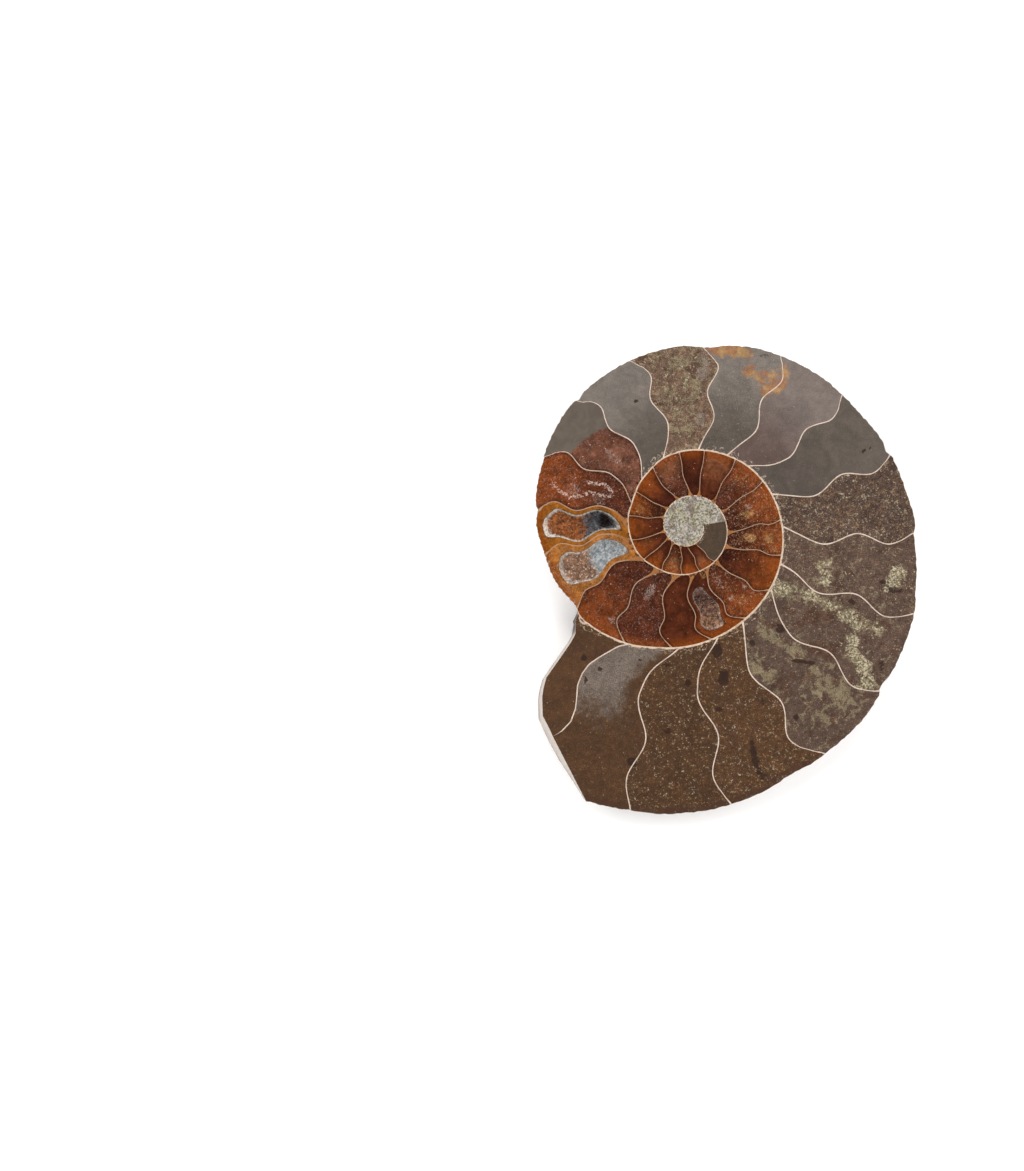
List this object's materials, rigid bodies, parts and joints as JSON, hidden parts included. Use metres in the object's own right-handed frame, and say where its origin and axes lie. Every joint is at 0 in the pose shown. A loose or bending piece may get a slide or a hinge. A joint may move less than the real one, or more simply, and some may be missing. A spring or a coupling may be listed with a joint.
{
  "type": "ammonite fossil half",
  "caption": "Half of a coiled ammonite fossil, sawn flat and polished to show its chambers, with crystal-lined hollows, a ground mouth and a domed shell flank behind.",
  "frame": {"origin": "bottom centre of the bounding box, on the surface the flank rests on", "axes": "+Z out of the polished cut face, +Y up the picture along the longest extent, +X to the picture's right"},
  "size_m": [0.0894, 0.11, 0.0125],
  "materials": {
    "fossil_stone": "polished on the cut, natural shell behind",
    "crystal_brown": "sparkling sugary crystals",
    "crystal_white": "sparkling sugary crystals",
    "crystal_rose": "sparkling sugary crystals"
  },
  "bodies": {
    "root": {"ammonite_half": "fossil_stone", "crystal_crust_1": "crystal_brown", "crystal_crust_2": "crystal_white", "crystal_crust_3": "crystal_rose"}
  },
  "joints": []
}
